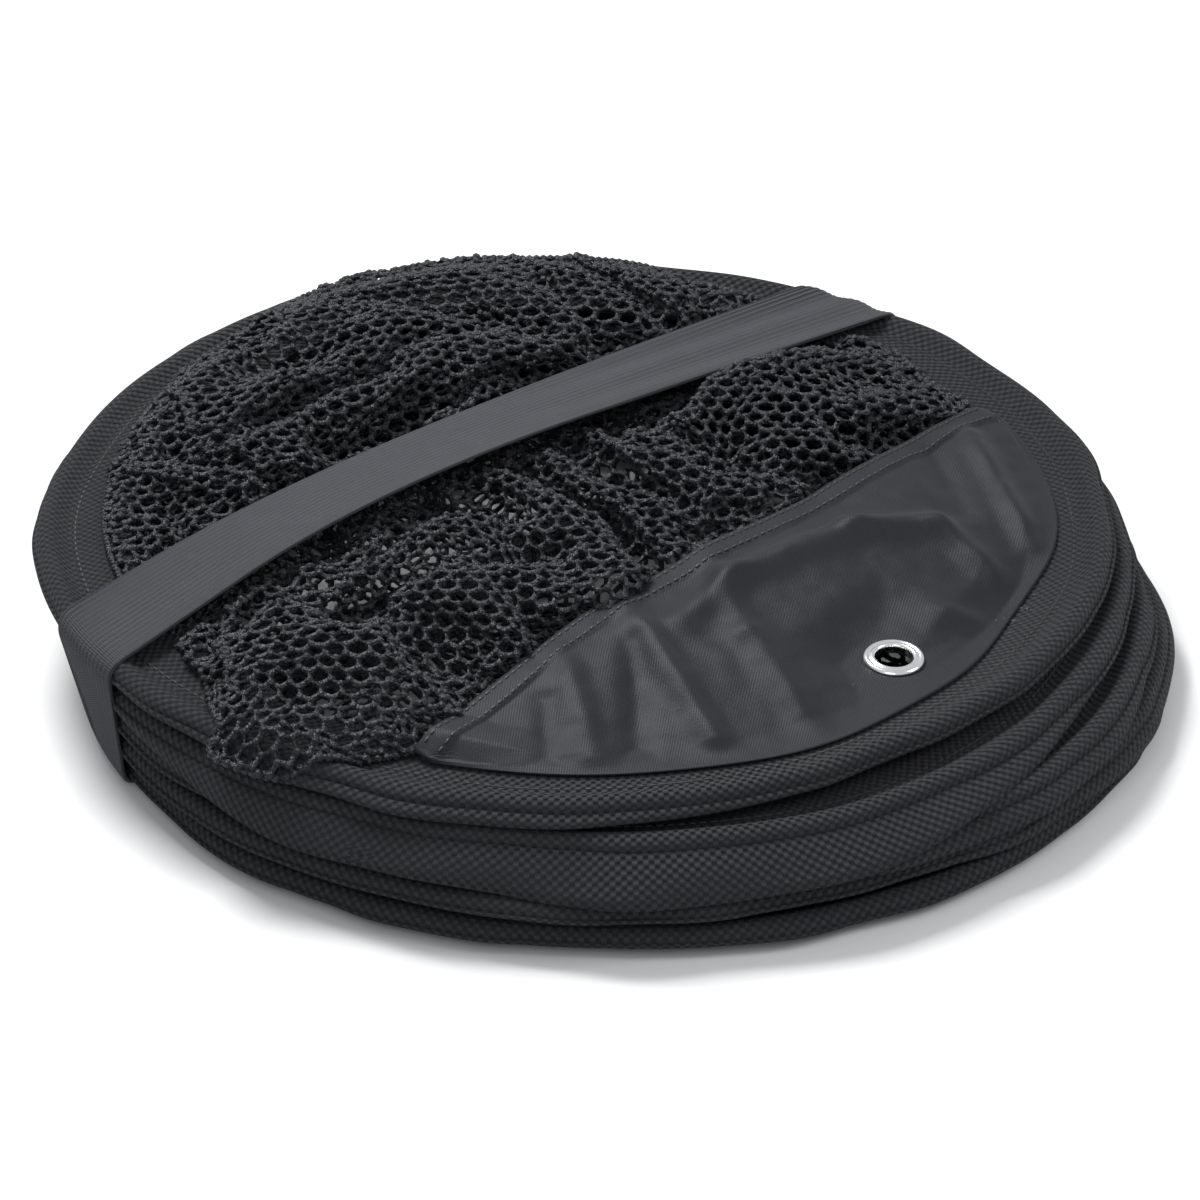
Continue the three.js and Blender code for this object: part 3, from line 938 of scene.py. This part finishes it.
for i in range(HOOPS - 1):
    verts, faces = [], []
    for row_index in range(WALL_ROWS + 1):
        q = row_index / WALL_ROWS
        swing = abs((q * PLEATS * 2) % 2 - 1)
        swing = 0.5 - 0.5 * math.cos(math.pi * swing)
        for k in range(WALL_ROUND):
            turn = 2 * math.pi * (k + 0.5 * (row_index % 2)) / WALL_ROUND
            low = tape_place(i, turn, LEG - 0.5 * MM)
            high = tape_place(i + 1, turn, LEG - 0.5 * MM if i < HOOPS - 2 else 11 * MM)
            out = Vector((math.cos(turn), math.sin(turn), 0))
            deep = PLEAT_DEEP * (1 - swing) * (0.85 + 0.15 * math.sin(7 * turn + i))
            p = low.lerp(high, q) - out * deep
            p.z += 0.9 * MM * (0.5 - q) * 2
            verts.append(p)
            if row_index:
                m, d = (k + 1) % WALL_ROUND, (row_index - 1) * WALL_ROUND
                a, b, c, e = d + k, d + m, d + WALL_ROUND + k, d + WALL_ROUND + m
                faces += [(a, b, c), (b, e, c)] if row_index % 2 == 0 else [(a, b, e), (a, e, c)]
    wall = put(f"wall_netting_{i + 1}", verts, faces, netting.material)
    netted(wall)
    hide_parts(f"wall_net_{i + 1}")
    slope = LIFT * (i + 0.5) / (HOOPS - 1) / 2 / WALL_IN
    upright = Vector((-slope * math.cos(LIFT_BEARING), -slope * math.sin(LIFT_BEARING), 1))
    start = centres[i] + Vector((0, 0, LIFT * i / (HOOPS - 1) / 2 + SEWN_IN))
    apart = centres[i + 1].z - centres[i].z + LIFT / (HOOPS - 1) / 2 - 2 * SEWN_IN
    end = start + upright * (apart / upright.length_squared)
    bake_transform(wall)

# ---- Bottom net ----
# A flat disc of the same netting sewn to the lowest hoop. It lies on whatever the trap stands on.

BOTTOM_REACH = 152 * MM
rim = [(BOTTOM_REACH * math.cos(t), BOTTOM_REACH * math.sin(t))
       for t in np.linspace(0, 2 * math.pi, 141)[:-1]]
disc, disc_faces = triangles(np.array(rim), 5.4 * MM, lambda x, y: math.hypot(x, y) < BOTTOM_REACH - 4 * MM)
floor_z = centres[0].z - 1.6 * MM
pouch_low, pouch_high = (Vector(c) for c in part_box("bait_pouch"))


def bottom_slack(x, y):
    """The spare netting lies in soft heaps round the pouch, and flat under it and at the sewn edge."""
    clear = max(abs(x) / (pouch_high.x - pouch_low.x), abs(y) / (pouch_high.y - pouch_low.y)) * 2 - 1.15
    inset = (BOTTOM_REACH - math.hypot(x, y)) / (22 * MM)
    mask = min(1, max(0, clear * 2.2)) * min(1, max(0, inset))
    coarse, fine = Vector((x, y, 0)) / (23 * MM), Vector((x, y, 5 * MM)) / (9 * MM)
    return mask * max(0.0, (15 + 12 * noise.noise(coarse) + 5 * noise.noise(fine)) * MM)


bottom_net = put("bottom_netting", [(centres[0].x + x, centres[0].y + y, floor_z + bottom_slack(x, y))
                                    for x, y in disc], disc_faces, netting.material)
netted(bottom_net, knot_size=2.4 * MM)
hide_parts("bottom_net")
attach(bottom_net, "bottom")

# ---- Bait pouch ----
# A small pocket of netting sewn down in the middle of the bottom net, with a bound edge.

pouch_mid, pouch_half = (pouch_low + pouch_high) / 2, (pouch_high - pouch_low) / 2
SQUARENESS = 0.45


def pouch_edge(turn, inset):
    """A rounded rectangle, that far inside the pouch's sides."""
    c, s = math.cos(turn), math.sin(turn)
    return (math.copysign(abs(c) ** SQUARENESS, c) * (pouch_half.x - inset),
            math.copysign(abs(s) ** SQUARENESS, s) * (pouch_half.y - inset))


edge_line = [pouch_edge(2 * math.pi * k / 96, 1.5 * MM) for k in range(96)]


def in_pouch(x, y):
    return (abs(x / pouch_half.x) ** 4.4 + abs(y / pouch_half.y) ** 4.4) < 0.80


cut, cut_faces = triangles(np.array(edge_line), 4.2 * MM, in_pouch)
pouch_verts = []
for x, y in cut:
    dome = max(0.0, 1 - abs(x / pouch_half.x) ** 2.6) * max(0.0, 1 - abs(y / pouch_half.y) ** 2.6)
    z = pouch_low.z + 0.6 * MM + 5.0 * MM * dome ** 0.7
    pouch_verts.append((pouch_mid.x + x, pouch_mid.y + y, z))
pouch = put("bait_pocket", pouch_verts, cut_faces, netting.material)
netted(pouch, strand=1.1 * MM, knot_size=1.5 * MM)
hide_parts("bait_pouch")


def binding_ring(turn):
    """The folded binding's section, flattened, round the pouch's edge."""
    x, y = pouch_edge(turn, 1.6 * MM)
    at = Vector((pouch_mid.x + x, pouch_mid.y + y, pouch_low.z + 0.9 * MM))
    out = Vector((math.cos(turn) * pouch_half.y, math.sin(turn) * pouch_half.x, 0)).normalized()
    return [at + out * 1.4 * MM * math.cos(a) + Vector((0, 0, 0.8 * MM * math.sin(a)))
            for a in (math.pi * k / 5 for k in range(10))]


binding = swept("pocket_binding", binding_ring, [2 * math.pi * k / 144 for k in range(144)], webbing.material)
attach(binding, "bottom")
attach(pouch, "bottom")

# ---- Retaining band ----
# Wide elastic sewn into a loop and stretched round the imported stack. It is knitted with lengthwise
# ribs, and lies on the heap of netting, so its front edge is higher than its back one.

RIBS = 16
RIB_HIGH = 0.65 * MM
RIB_SKIN = 2.63
BAND_STEPS = 480
FLOOR_GAP = 0.2 * MM

elastic = Recipe("ribbed_elastic", roughness=0.66, sheen_weight=0.08, sheen_roughness=0.4)
elastic.shader.inputs["Specular IOR Level"].default_value = 0.25
elastic.shader.inputs["Specular Tint"].default_value = (0.84, 0.90, 1.0, 1)
eu, ev = elastic.along_cloth()
picks = abs((eu * (math.pi / 0.8)).sin())
ribs_with_groove_shade = abs((ev * (math.pi / RIB_SKIN)).sin()).ramp(0.05, 0.75)
elastic.relief(picks * 0.5 + ribs_with_groove_shade + elastic.blotches(0.7 * MM, 2.0) * 0.5, 0.35 * MM)
# Painted shade: the grooves between the ribs are coloured nearly black, and the ribs lighter. Along the ribs
# the colour also follows the knit's picks and random blotches.
elastic.feed("Base Color", elastic.shade((0.0060, 0.0062, 0.0071), (0.0400, 0.0413, 0.0470),
                                         ribs_with_groove_shade * (picks * 0.35 + elastic.blotches(9 * MM) * 0.30 + 0.35)))


def hull(points):
    """The tight loop round a set of points, as a rubber band lies round pegs."""
    points = sorted(set(points))

    def half(items):
        kept = []
        for p in items:
            while len(kept) > 1 and ((kept[-1][0] - kept[-2][0]) * (p[1] - kept[-2][1])
                                     - (kept[-1][1] - kept[-2][1]) * (p[0] - kept[-2][0])) <= 0:
                kept.pop()
            kept.append(p)
        return kept[:-1]

    return half(points) + half(points[::-1])


def band_loop(w):
    """The band's line, w across it from its middle: even steps from the left rim over the top."""
    pegs = []
    for index in range(HOOPS):
        c = centres[index]
        away = BAND_LANE + w - c.dot(band_across)
        for sign in (-1, 1):
            half = math.sqrt(HOOP_RADIUS ** 2 - away ** 2)
            s = c.dot(band_along) + sign * half
            spot = band_along * s + band_across * (BAND_LANE + w)
            z = hoop_place(index, math.atan2(spot.y - c.y, spot.x - c.x)).z
            wide = (BEAD + TAPE / 2 + 0.5 * MM) * HOOP_RADIUS / half
            for k in range(16):
                a = 2 * math.pi * k / 16
                pegs.append((s + wide * math.cos(a), z + (BEAD + TAPE / 2 + 0.3 * MM) * math.sin(a)))
    start = LID.dot(band_along)
    for k in range(61):
        s = (k / 30 - 1) * 150 * MM
        p = band_along * s + band_across * (BAND_LANE + w - LID.dot(band_across))
        level = LID.z + LIFT / 2 + Vector((p.x, p.y)).dot(TILT)
        pegs.append((start + s, level + 4.6 * MM + heap_under_band(s, w)))
    loop = np.array(hull(pegs))
    low = loop[:, 1] < 1.2 * MM
    loop[low, 1] = 1.2 * MM
    ring = np.vstack([loop, loop[:1]])
    length = np.r_[0, np.cumsum(np.hypot(*np.diff(ring, axis=0).T))]
    even = np.linspace(0, length[-1], BAND_STEPS, endpoint=False)
    path = np.c_[np.interp(even, length, ring[:, 0]), np.interp(even, length, ring[:, 1])]
    begin = int(np.argmin(path[:, 0]))
    path = np.roll(path, -begin, axis=0)
    for _ in range(4):
        path = (np.roll(path, 1, axis=0) + 2 * path + np.roll(path, -1, axis=0)) / 4
    return path


lanes = [band_loop((k / 8 - 1) * BAND_WIDE / 2) for k in range(17)]
strands = 4 * RIBS + 1
outer, inner = [], []
for m in range(strands):
    share = m / (strands - 1)
    at = share * 16
    k = min(15, int(at))
    path = lanes[k] * (1 - (at - k)) + lanes[k + 1] * (at - k)
    way = np.roll(path, -1, axis=0) - np.roll(path, 1, axis=0)
    way /= np.linalg.norm(way, axis=1)[:, None]
    off = np.c_[way[:, 1], -way[:, 0]]
    turns_in = np.sum(off * (path - path.mean(0)), axis=1).sum()
    if turns_in < 0:
        off = -off
    rib = RIB_HIGH * (0.5 - 0.5 * math.cos(math.pi * m / 2))
    w = (share - 0.5) * BAND_WIDE
    s = path[:, 0] / MM
    crease = 0.5 * MM * np.sin(w / (2.6 * MM) + s / 60) * np.clip((s - 10) / 60, 0, 1) * (path[:, 1] > 0.03)
    for keep, height in ((outer, BAND_THICK / 2 + rib), (inner, -BAND_THICK / 2)):
        line = path + off * (height + crease)[:, None]
        keep.append([band_along * float(p[0]) + band_across * (BAND_LANE + w)
                     + Vector((0, 0, max(FLOOR_GAP, float(p[1])))) for p in line])
loop_of = outer + inner[::-1]
band = swept("elastic_band", lambda k: [strand[k] for strand in loop_of], range(BAND_STEPS), elastic.material)
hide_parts("retaining_band")
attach(band, "band")
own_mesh(band)

bpy.data.objects.remove(bed)
bpy.data.objects.remove(hold)
